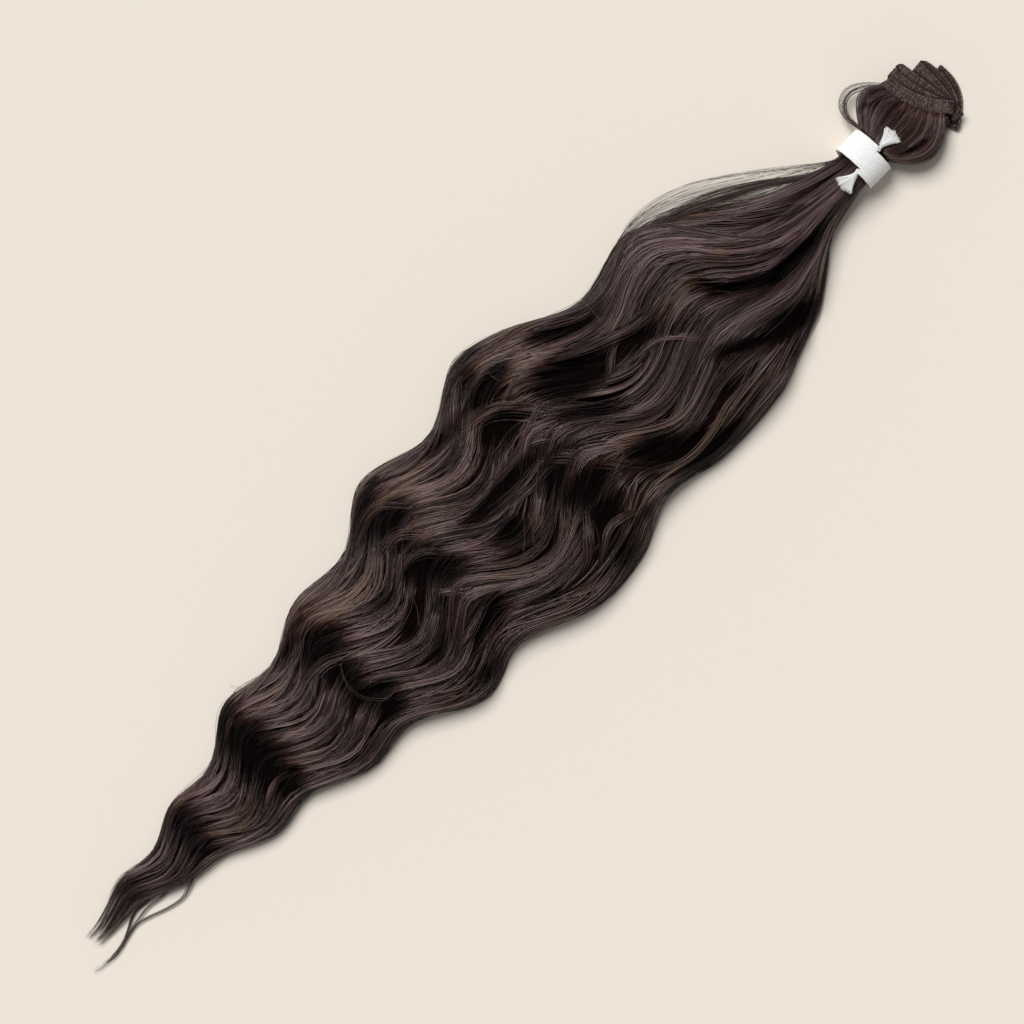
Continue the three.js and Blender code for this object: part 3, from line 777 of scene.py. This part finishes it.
def root_strands(rng, count, steps):
    """Roots that fan from the tie to the top seam of the track."""
    share = np.sort(rng.uniform(-0.02, 1.02, count)) + rng.normal(0, 0.012, count)
    share = np.clip(share, 0.005, 0.995)[:, None]
    reach = repeated(np.linspace(0, 1, steps), share)
    spread = share + 0.03 * np.sin(math.pi * reach) * rng.normal(0, 1, (count, 1))
    plan, _, middle, top = crown(np.clip(spread, 0.002, 0.998), reach)
    flat = np.minimum(1, np.sqrt(np.clip(1 - (1 - 2 * spread) ** 2, 0, 1)) * (1 + 1.2 * reach))
    deep = np.ones((1, 1, len(ROOT_HOLLOWS))) + rng.normal(0, 0.15, (count, 1, len(ROOT_HOLLOWS)))
    hollow = hollowed(ROOT_HOLLOWS, plan[..., 0], plan[..., 1], deep, rng.normal(0, 0.5, (count, 1)))
    sunk = rng.uniform(-1.5, 0.3, (count, 1)) * np.sin(math.pi * np.clip(reach, 0.06, 0.9))
    height = middle + (top - middle) * flat + sunk - hollow
    radii = repeated(rng.uniform(0.1, 0.24, (count, 1)), reach)
    # Painted shade in the tint: darker on strands that lie lower and in the hollows among the roots
    tints = np.clip(rng.normal(0.56, 0.2, (count, 1)) + 0.2 * sunk, 0.05, 1)
    tints = tints * (1 - 0.75 * np.clip(hollow / 3, 0, 1))
    return raised(plan, height), radii, tints


def side_roots(rng, count, steps):
    """Roots that pass under the top layers to the ends of the lower seams."""
    groups = []
    for k, row in list(enumerate(LAYERS))[1:]:
        for side, puffed in zip((1, -1), SIDE_ROOTS["puff_across"]):
            share = rng.uniform(0.0, 0.07, (count, 1))
            share = share if side > 0 else 1 - share
            reach = repeated(np.linspace(0, 1, steps), share)
            across = NECK["across"] + side * rng.uniform(*SIDE_ROOTS["off_middle"], (count, 1))
            start = np.stack((np.full_like(share, SIDE_ROOTS["along"]), across), axis=-1)
            across = puffed + rng.normal(0, 1.2, (count, 1))
            puff = np.stack((np.full_like(share, SIDE_ROOTS["puff_along"]), across), axis=-1)
            plan = bent(start, puff, seam(row, share, CROWN["lap"])[0], reach[..., None])
            drop = (layer_height(k) - SIDE_ROOTS["height"]) * smoothstep(reach, 0, 0.8)
            height = SIDE_ROOTS["height"] + drop - 2.0 * np.sin(math.pi * reach)
            paths = raised(plan, np.maximum(height, 0.5))
            radii = repeated(rng.uniform(0.16, 0.3, (count, 1)), reach)
            tints = np.clip(rng.normal(0.38, 0.18, (count, 1)), 0.03, 1)
            groups.append((paths, radii, repeated(tints, reach)))
    return gather(groups)


def edge_hairs(rng, count, steps):
    """Single hairs that stand a little off the two edges of the fall."""
    middle, half = rng.uniform(70, 545, (count, 1)), rng.uniform(18, 55, (count, 1))
    place = np.linspace(-1, 1, steps)[None]
    along = middle + half * place
    left, right, _ = fall(along)
    side = np.where(rng.uniform(0, 1, (count, 1)) < 0.5, 1, -1)
    off = rng.uniform(0.3, 1.0, (count, 1)) ** 2 * 3.2 * np.cos(math.pi / 2 * place) ** 2 - 0.8
    height = repeated(rng.uniform(1.0, 4.0, (count, 1)), along)
    paths = np.stack((along, np.where(side > 0, left, right) + side * off, height), axis=-1)
    radii = repeated(rng.uniform(0.08, 0.14, (count, 1)), along)
    return paths, radii, repeated(np.clip(rng.normal(0.5, 0.15, (count, 1)), 0, 1), along)


def fan_hairs(rng, count, steps):
    """Single hairs that spring out beside the tie and come back to the edge."""
    at = np.linspace(0, 1, steps) * rng.uniform(0.75, 1.0, (count, 1))
    mix = rng.uniform(0.05, 1.0, (count, 1))
    mix = np.clip(mix + 0.12 * np.sin(7 * at + rng.uniform(0, 6, (count, 1))), 0, 1)[..., None]
    plan = drawn(FAN_HAIRS[0], at) * mix + drawn(FAN_HAIRS[1], at) * (1 - mix)
    height = 17 - 13 * smoothstep(at, 0, 0.8) + rng.normal(0, 0.6, (count, 1))
    radii = repeated(rng.uniform(0.06, 0.12, (count, 1)), at)
    tints = repeated(np.clip(rng.normal(0.5, 0.15, (count, 1)), 0, 1), at)
    return raised(plan, height), radii, tints


def pale_hairs(rng, each, steps):
    """Single pale hairs that cross over locks and hollows."""
    groups = []
    for points in PALE_HAIRS:
        plan = drawn(points, np.linspace(0, 1, steps)[None] * rng.uniform(0.85, 1.0, (each, 1)))
        plan = plan + rng.normal(0, 0.5, (each, 1, 2))
        plan = plan + rng.normal(0, 0.5, (each, 1, 2)) * np.linspace(-1, 1, steps)[:, None]
        height, _ = surface(plan[..., 0], plan[..., 1], np.full((1, 1, len(HOLLOWS)), 0.2), 0.0)
        radii = repeated(rng.uniform(0.05, 0.09, (each, 1)), height)
        paths = raised(plan, height + 1.8)
        groups.append((paths, radii, repeated(np.clip(rng.normal(0.85, 0.1, (each, 1)), 0, 1), height)))
    return gather(groups)


# Track and tie

def track_course(per_layer=30, per_turn=8):
    """The folded strip's seam points, with the directions away from the tie and out of its face."""
    places, aways, faces = [], [], []
    for k, row in enumerate(LAYERS):
        rightward = k % 2 == 0
        for share in np.linspace(0, 1, per_layer):
            plan, _, away = seam(row, share if rightward else 1 - share)
            places.append((*plan, layer_height(k)))
            aways.append((*away, 0))
            faces.append((0, 0, 1 if rightward else -1))
        if k == len(LAYERS) - 1:
            break
        end = 1.0 if rightward else 0.0
        plan, run, away = seam(row, end)
        next_plan, _, next_away = seam(LAYERS[k + 1], end)
        outward = TRACK["pitch"] / 2 * (1 if rightward else -1)
        for turn in np.linspace(0, math.pi, per_turn + 1)[1:-1]:
            share = (1 - math.cos(turn)) / 2
            here = plan * (1 - share) + next_plan * share + run * outward * math.sin(turn)
            places.append((*here, layer_height(k) * (1 - share) + layer_height(k + 1) * share))
            leaning = away * (1 - share) + next_away * share
            aways.append((*(leaning / np.linalg.norm(leaning)), 0))
            faces.append((*(run * math.sin(turn)), math.cos(turn) if rightward else -math.cos(turn)))
    return np.array(places), np.array(aways), np.array(faces, float)


def on_track(course, length, wide, thick, clear=0.0):
    """Points on the strip: millimetres along it, and -1 to 1 of its half width and half thickness."""
    run = lengths(course[0])
    at = [np.stack([np.interp(length, run, part[:, k]) for k in range(3)], axis=-1) for part in course]
    half_width, half_thick = TRACK["width"] / 2, TRACK["thickness"] / 2
    points = at[0] + at[1] * half_width * (1 + wide)[..., None] + at[2] * (half_thick * thick)[..., None]
    points[..., 2] = np.maximum(points[..., 2], clear)
    return points


def sheltered(points):
    """Painted shade beside the edge of a higher layer: 1 in the open, near 0 in the groove."""
    light = np.ones(points.shape[:-1])
    for k, row in enumerate(LAYERS):
        left, right = np.array(row[0:2], float), np.array(row[2:4], float)
        run = (right - left) / np.linalg.norm(right - left)
        share = (points[..., :2] - left) @ run / np.linalg.norm(right - left)
        beyond = (points[..., :2] - left) @ np.array((-run[1], run[0])) - row[4] * 4 * share * (1 - share)
        under = (points[..., 2] < layer_height(k) - 0.2) & (share > -0.05) & (share < 1.05)
        light = np.where(under, light * (0.1 + 0.9 * smoothstep(beyond - TRACK["width"], *GROOVE)), light)
    return light


def round_strip(turn, wide, thick):
    """Where a turn round the strip's section lies, as shares of its half width and half thickness."""
    beside, over = np.cos(turn), np.sin(turn)
    return np.sign(beside) * np.abs(beside) ** 0.4 * wide, np.sign(over) * np.abs(over) ** 0.7 * thick


def cord_course(steps):
    """The wound cord's middle line from its leading end to its trailing one."""
    reach = CORD["radius"] + CORD["clearance"]
    turn = np.linspace(0, CORD["turns"], steps)
    angle = CORD["first_angle"] + math.tau * turn
    wound = np.stack((CORD["start"] + turn * CORD["pitch"] * (CORD["turns"] - 1) / CORD["turns"],
                      NECK["across"] + (NECK["half_width"] + reach) * np.cos(angle),
                      NECK["height"] + (NECK["half_height"] + reach) * np.sin(angle)), axis=-1)
    lean = np.array(CORD_LEAN)
    lead, trail = wound[0] + lean * (-1, -1, 1), wound[-1] + lean
    return np.concatenate((lead[None], wound, trail[None]))


def frayed(rng, start, toward, drop, count, steps):
    """Loose yarn at an end of the cord, fanned out."""
    fan = rng.uniform(-FRAY["fan"], FRAY["fan"], (count, 1))
    reach = FRAY["reach"] - FRAY["rounding"] * np.abs(fan) + rng.normal(0, 0.5, (count, 1))
    base = start + np.concatenate((np.zeros((count, 1)), rng.normal(0, 0.5, (count, 2))), axis=1)
    fall_by = 0.2 * drop + rng.normal(0, 0.4, (count, 1))
    by = np.concatenate((np.full_like(fan, toward * 4), 0.7 * fan, fall_by), axis=1)
    fall_tip = drop + rng.normal(0, 0.35, (count, 1))
    tip = np.concatenate((toward * reach, FRAY["opening"] * fan, fall_tip), axis=1)
    part = np.linspace(0, 1, steps)[:, None]
    paths = base[:, None] + 2 * part * (1 - part) * by[:, None] + part ** 2 * tip[:, None]
    radii = rng.uniform(*FRAY["radius"], (count, 1)) * (1.0 - 0.3 * part[:, 0] ** 2)
    return paths, radii, np.ones(radii.shape)


# Settings and steps

def number(name, description, default, least):
    return bpy.props.IntProperty(name=name, description=description, default=default, min=least)


def distance(name, description, default):
    return bpy.props.FloatProperty(name=name, description=description, unit="LENGTH", default=default)


def colour(name, description, code):
    return bpy.props.FloatVectorProperty(
        name=name, description=description, subtype="COLOR", size=4, min=0, max=1, default=linear(code))


class WeftSettings(bpy.types.PropertyGroup):
    """Numbers and colours of the weft."""
    locks: number("Locks", "Locks that the fall is parted into", 38, 8)
    over_locks: number("Crossing locks", "Locks that lie over the rest", 4, 1)
    edge_locks: number("Edge locks", "Locks that draw in from the left edge", 6, 1)
    strands: number("Strands per lock", "Strands drawn in each lock", 30, 4)
    thin_strands: number("Strands per upper lock", "Strands in each lock over the rest", 20, 4)
    steps: number("Strand steps", "Points along each strand", 78, 20)
    roots: number("Roots", "Strands from the tie to the track", 420, 20)
    side_roots: number("Side roots", "Strands to each end of a lower seam", 9, 1)
    flyaways: number("Flyaways", "Single hairs off the edges", 150, 0)
    frays: number("Frayed yarns", "Loose yarns at each end of the tie", 150, 1)
    seed: number("Seed", "Changes how the locks fall", 11, 0)
    rib_pitch: distance("Rib pitch", "Spacing of the sewn roots along the track", 0.95 * MM)
    yarn_swell: distance("Yarn swell", "Length over which the tie's yarns swell and thin", 6.5 * MM)
    hair_dark: colour("Dark hair", "Darkest strands", "#0d0706")
    hair_mid: colour("Mid hair", "Most strands", "#341d1c")
    hair_light: colour("Light hair", "Lightest strands", "#7f6967")
    thread: colour("Track thread", "Palest stitches of the track", "#877571")
    cotton: colour("Cotton", "Yarn of the tie", "#ffffff")
    floor: colour("Floor", "Painted board", "#ede3d7")


class HAIRWEFT_OT_mass(bpy.types.Operator):
    """Makes the dark inside of the hair, which shows between locks and underneath; its darkness is painted
    shade
    """
    bl_idname = "hairweft.mass"
    bl_label = "Inside of the hair"

    def execute(self, context):
        shade = hair_shade(context.scene.hair_weft)
        piece, place, turn = bar("hair_mass", sides=48, rings=200)
        along = MASS["tips"] + (NECK["to"] - MASS["tips"]) * place
        left, right, _ = fall(along)
        start, rounding = MASS["rounded"]
        taper = MASS["share"] * np.sqrt(np.clip((along - start) / rounding, 0, 1))
        across = (left + right) / 2 + (left - right) / 2 * np.cos(turn) * taper
        deep = np.full((len(along), len(HOLLOWS)), MASS["hollows"])
        top, hollow = surface(along, across, deep, 0.0, MASS["hollows"])
        neck = smoothstep(along, NECK["gathers"], NECK["from"])
        low = (NECK["height"] - (NECK["half_height"] - 1) * np.abs(np.sin(turn))) * neck
        above = np.maximum((top - MASS["below"] + neck) * np.minimum(1, taper + 0.2), low + 0.6)
        height = np.where(np.sin(turn) >= -1e-6, above, low + 0.2)
        # Painted shade: the top, seen only between locks, is darker than the underside, and darker still in
        # the hollows
        tint = np.where(np.sin(turn) > 0, 0.5, 1.1) * (1 - 0.55 * np.clip(hollow / 2.5, 0, 1))
        shape(piece, np.stack((along, across, height), axis=-1), shade, "hair_lengths", tint)
        piece, place, turn = bar("root_mass", sides=32, rings=24)
        share, reach = (1 - 0.95 * np.cos(turn)) / 2, 0.97 * place
        plan, bottom, middle, top = crown(share, reach)
        flat = np.clip(np.sin(turn) * (1 + 1.2 * reach), -1, 1)
        deep = np.ones((len(plan), len(ROOT_HOLLOWS)))
        hollow = hollowed(ROOT_HOLLOWS, plan[:, 0], plan[:, 1], deep, 0.0)
        above = middle + (top - middle - MASS["roots_below"]) * flat - 0.5 * hollow
        height = np.where(flat > 0, above, middle + (middle - bottom) * flat) + 0.15
        # Painted shade in the hollows among the roots
        tint = 0.9 * (1 - np.clip(hollow, 0, 1))
        shape(piece, raised(plan, height), shade, "hair_lengths", tint)
        return {"FINISHED"}


class HAIRWEFT_OT_fall(bpy.types.Operator):
    """Makes the waved fall of hair in locks of strands"""
    bl_idname = "hairweft.fall"
    bl_label = "Fall of hair"

    def execute(self, context):
        settings = context.scene.hair_weft
        rng = np.random.default_rng(settings.seed)
        groups = []
        # Locks side by side, then those that wander over them and those that draw in from the left edge
        for share in (np.arange(settings.locks) + 0.5) / settings.locks:
            drift = np.cumsum(rng.normal(0, 0.02, len(STATIONS))[::-1])[::-1]
            groups.append(lock_strands(
                rng, share=np.clip(share + drift - 0.5 * drift[-1], 0.015, 0.985),
                width=rng.uniform(3.5, 7.0), rise=rng.uniform(-1.0, 1.5),
                ends=rng.uniform(0, 1) ** 1.6 * 70 - 7, count=settings.strands, steps=settings.steps,
                bridge=1.0, swing=rng.uniform(0.65, 1.15)))
        for share in rng.uniform(0.06, 0.94, settings.over_locks):
            drift = np.cumsum(rng.normal(0, 0.065, len(STATIONS))[::-1])[::-1]
            groups.append(lock_strands(
                rng, share=np.clip(share + drift - drift[-1], 0.03, 0.97), width=rng.uniform(1.8, 3.6),
                rise=rng.uniform(0.8, 2.2), ends=rng.uniform(10, 150), count=settings.thin_strands,
                steps=settings.steps, bridge=rng.uniform(0.75, 1.05), swing=rng.uniform(0.6, 1.4)))
        for share in rng.uniform(0.9, 0.99, settings.edge_locks):
            drift = np.array((-0.25, -0.2, -0.12, -0.06, 0, 0)) * rng.uniform(0, 1)
            groups.append(lock_strands(
                rng, share=share + drift, width=rng.uniform(4, 7), rise=rng.uniform(0.5, 1.5),
                ends=rng.uniform(30, 120), count=settings.thin_strands, steps=settings.steps, bridge=1.0,
                swing=rng.uniform(0.65, 1.15)))
        paths, radii, tints = gather(groups)
        order = rng.permutation(len(paths))
        fibre = hair_fibre(settings)
        for k, part in enumerate(np.array_split(order, FALL_PIECES)):
            strands = paths[part], radii[part], tints[part]
            strand_piece(f"hair_fall_{k + 1}", *strands, fibre, "hair", "hair_lengths")
        ridges = gather([ridge_strands(rng, row) for row in RIDGES])
        strand_piece("hair_ridges", *ridges, fibre, "hair", "hair_lengths")
        return {"FINISHED"}


class HAIRWEFT_OT_loose(bpy.types.Operator):
    """Makes the roots, the stray locks and the single hairs"""
    bl_idname = "hairweft.loose"
    bl_label = "Roots and loose hair"

    def execute(self, context):
        settings = context.scene.hair_weft
        rng = np.random.default_rng(settings.seed + 1)
        fibre = hair_fibre(settings)
        roots = gather((root_strands(rng, settings.roots, ROOT_STEPS),
                        side_roots(rng, settings.side_roots, ROOT_STEPS),
                        tress(rng, ROOT_LOOP, ROOT_STEPS, radius=0.13)))
        strand_piece("hair_roots", *roots, fibre, "hair", "hair_lengths")
        strays = gather([tress(rng, row, STRAY_STEPS, radius=0.18) for row in STRAYS])
        strand_piece("hair_strays", *strays, fibre, "hair", "hair_lengths")
        single = gather((edge_hairs(rng, settings.flyaways, SINGLE_STEPS),
                         fan_hairs(rng, settings.flyaways // 5, SINGLE_STEPS),
                         pale_hairs(rng, 2, SINGLE_STEPS)))
        strand_piece("hair_flyaways", *single, fibre, "hair", "hair_lengths")
        return {"FINISHED"}


class HAIRWEFT_OT_track(bpy.types.Operator):
    """Makes the folded track: its strip, the roots sewn over it and the rows of stitches"""
    bl_idname = "hairweft.track"
    bl_label = "Track"

    def execute(self, context):
        settings = context.scene.hair_weft
        rng = np.random.default_rng(settings.seed + 2)
        thread = track_thread(settings)
        course = track_course()
        whole = lengths(course[0])[-1]
        piece, place, turn = bar("weft_track", sides=16, rings=240)
        verts = on_track(course, whole * place, *round_strip(turn, wide=0.96, thick=0.72))
        shape(piece, verts, thread, "weft_track", np.full(len(turn), 0.35))
        starts = np.arange(0.4, whole - 0.4, settings.rib_pitch / MM)[:, None]
        turn = np.linspace(0, math.tau, 17)[None]
        slant = 0.45 * np.cos(turn) + rng.normal(0, 0.12, starts.shape)
        wide, thick = round_strip(turn, wide=0.98, thick=0.8)
        ribs = on_track(course, starts + slant, wide, thick, clear=0.45)
        radii = repeated(rng.uniform(0.34, 0.44, starts.shape), turn)
        # Painted shade: ribs darker toward the strip's two edges and in the grooves beside higher layers
        tints = np.clip(rng.normal(1.05, 0.2, starts.shape), 0.3, 1.6) * (1 - 0.7 * np.abs(wide) ** 8)
        tints = tints * sheltered(ribs)
        strand_piece("track_ribs", ribs, radii, tints, thread, "track", "weft_track", 4, STITCH_GUIDE)
        rows = []
        count = int(whole / STITCH_STEP)
        length = np.linspace(0.3, whole - 0.3, count)[None]
        for wide, zigzag, radius in TRACK_STITCHES:
            for face in (1, -1):
                swing = zigzag * np.where(np.arange(count) % 4 < 2, 1, -1)[None]
                lift = 1.15 + 0.15 * np.cos(np.arange(count) * math.pi / 2)[None]
                path = on_track(course, length, wide + swing, face * lift, clear=radius + 0.02)
                # Painted shade in the grooves beside higher layers
                tint = np.clip(rng.normal(1.25, 0.35, path.shape[:2]), 0.3, 2.2) * sheltered(path)
                rows.append((path, np.full(path.shape[:2], radius), tint))
        strand_piece("track_stitches", *gather(rows), thread, "track", "weft_track", 4, STITCH_GUIDE)
        return {"FINISHED"}


class HAIRWEFT_OT_tie(bpy.types.Operator):
    """Makes the cotton cord wound round the neck, two yarns side by side on a core, with its frayed ends"""
    bl_idname = "hairweft.tie"
    bl_label = "Tie"

    def execute(self, context):
        settings = context.scene.hair_weft
        rng = np.random.default_rng(settings.seed + 3)
        yarn = cotton(settings)
        middle = cord_course(steps=520)
        length = lengths(middle)
        run = np.gradient(middle, axis=0)
        run /= np.linalg.norm(run, axis=1, keepdims=True)
        out = middle - (0, NECK["across"], NECK["height"])
        out[:, 0] = 0
        out -= run * np.sum(out * run, axis=1, keepdims=True)
        out /= np.linalg.norm(out, axis=1, keepdims=True)
        side = np.cross(run, out)
        beside, proud, radius, swell = np.array(YARNS).T[:, :, None]
        taper = np.clip(np.minimum(length, length[-1] - length) / 4, 0.15, 1)[:, None]
        paths = middle + taper * (beside[..., None] * side + proud[..., None] * out)
        radii = radius + swell * np.sin(math.tau * length / (settings.yarn_swell / MM))
        strand_piece("tie_cord", paths, radii, np.ones(radii.shape), yarn, "cord", "tie_cord", 8, CORD_GUIDE)
        ends = gather((frayed(rng, middle[0], toward=-1, drop=0.6, count=settings.frays, steps=9),
                       frayed(rng, middle[-1], toward=1, drop=-0.4, count=settings.frays, steps=9)))
        strand_piece("tie_ends", *ends, yarn, "cord", "tie_cord", 5)
        return {"FINISHED"}


class HAIRWEFT_OT_stage(bpy.types.Operator):
    """Makes the pale floor, the light and the camera"""
    bl_idname = "hairweft.stage"
    bl_label = "Stage"

    def execute(self, context):
        scene = context.scene
        bpy.ops.object.select_all(action="DESELECT")
        bpy.ops.mesh.primitive_plane_add(size=STAGE["floor"], location=(0, 0, -STAGE["floor_gap"]))
        floor = context.object
        floor.name = "floor"
        bpy.ops.object.transform_apply(location=True)
        floor.data.materials.append(painted_board(scene.hair_weft))
        world = bpy.data.worlds.new("studio")
        scene.world = world
        world.use_nodes = True
        sky = world.node_tree.nodes["Background"]
        sky.inputs["Color"].default_value = linear("#ffffff")
        sky.inputs["Strength"].default_value = STAGE["sky"]
        sun = bpy.data.lights.new("window", "SUN")
        sun.energy = STAGE["sun"]
        sun.angle = math.radians(STAGE["sun_spread"])
        shone = bpy.data.objects.new("window", sun)
        scene.collection.objects.link(shone)
        shone.rotation_euler = [math.radians(lean) for lean in STAGE["sun_lean"]]
        camera = bpy.data.cameras.new("camera")
        holder = bpy.data.objects.new("camera", camera)
        scene.collection.objects.link(holder)
        along, across, height = STAGE["aim"]
        holder.location = (along, across, STAGE["distance"] + height)
        holder.rotation_euler = (0, 0, math.radians(STAGE["turn"]))
        camera.lens = STAGE["film_mm"] * STAGE["distance"] / STAGE["view"]
        camera.clip_end = STAGE["reach"]
        scene.camera = holder
        scene.view_settings.view_transform = "Standard"
        return {"FINISHED"}


class HAIRWEFT_PT_panel(bpy.types.Panel):
    """Lists the settings and the steps that build the weft"""
    bl_idname = "HAIRWEFT_PT_panel"
    bl_label = "Hair weft"
    bl_space_type = "VIEW_3D"
    bl_region_type = "UI"
    bl_category = "Hair weft"

    def draw(self, context):
        settings = context.scene.hair_weft
        for name in settings.__annotations__:
            self.layout.prop(settings, name)
        for step in STEPS:
            self.layout.operator(step.bl_idname)


STEPS = (HAIRWEFT_OT_mass, HAIRWEFT_OT_fall, HAIRWEFT_OT_loose, HAIRWEFT_OT_track, HAIRWEFT_OT_tie,
         HAIRWEFT_OT_stage)
CLASSES = (WeftSettings, *STEPS, HAIRWEFT_PT_panel)


def register():
    for cls in CLASSES:
        bpy.utils.register_class(cls)
    bpy.types.Scene.hair_weft = bpy.props.PointerProperty(type=WeftSettings)


def unregister():
    del bpy.types.Scene.hair_weft
    for cls in reversed(CLASSES):
        bpy.utils.unregister_class(cls)


def main():
    register()
    bpy.ops.hairweft.mass()
    bpy.ops.hairweft.fall()
    bpy.ops.hairweft.loose()
    bpy.ops.hairweft.track()
    bpy.ops.hairweft.tie()
    bpy.ops.hairweft.stage()


if __name__ == "__main__":
    main()
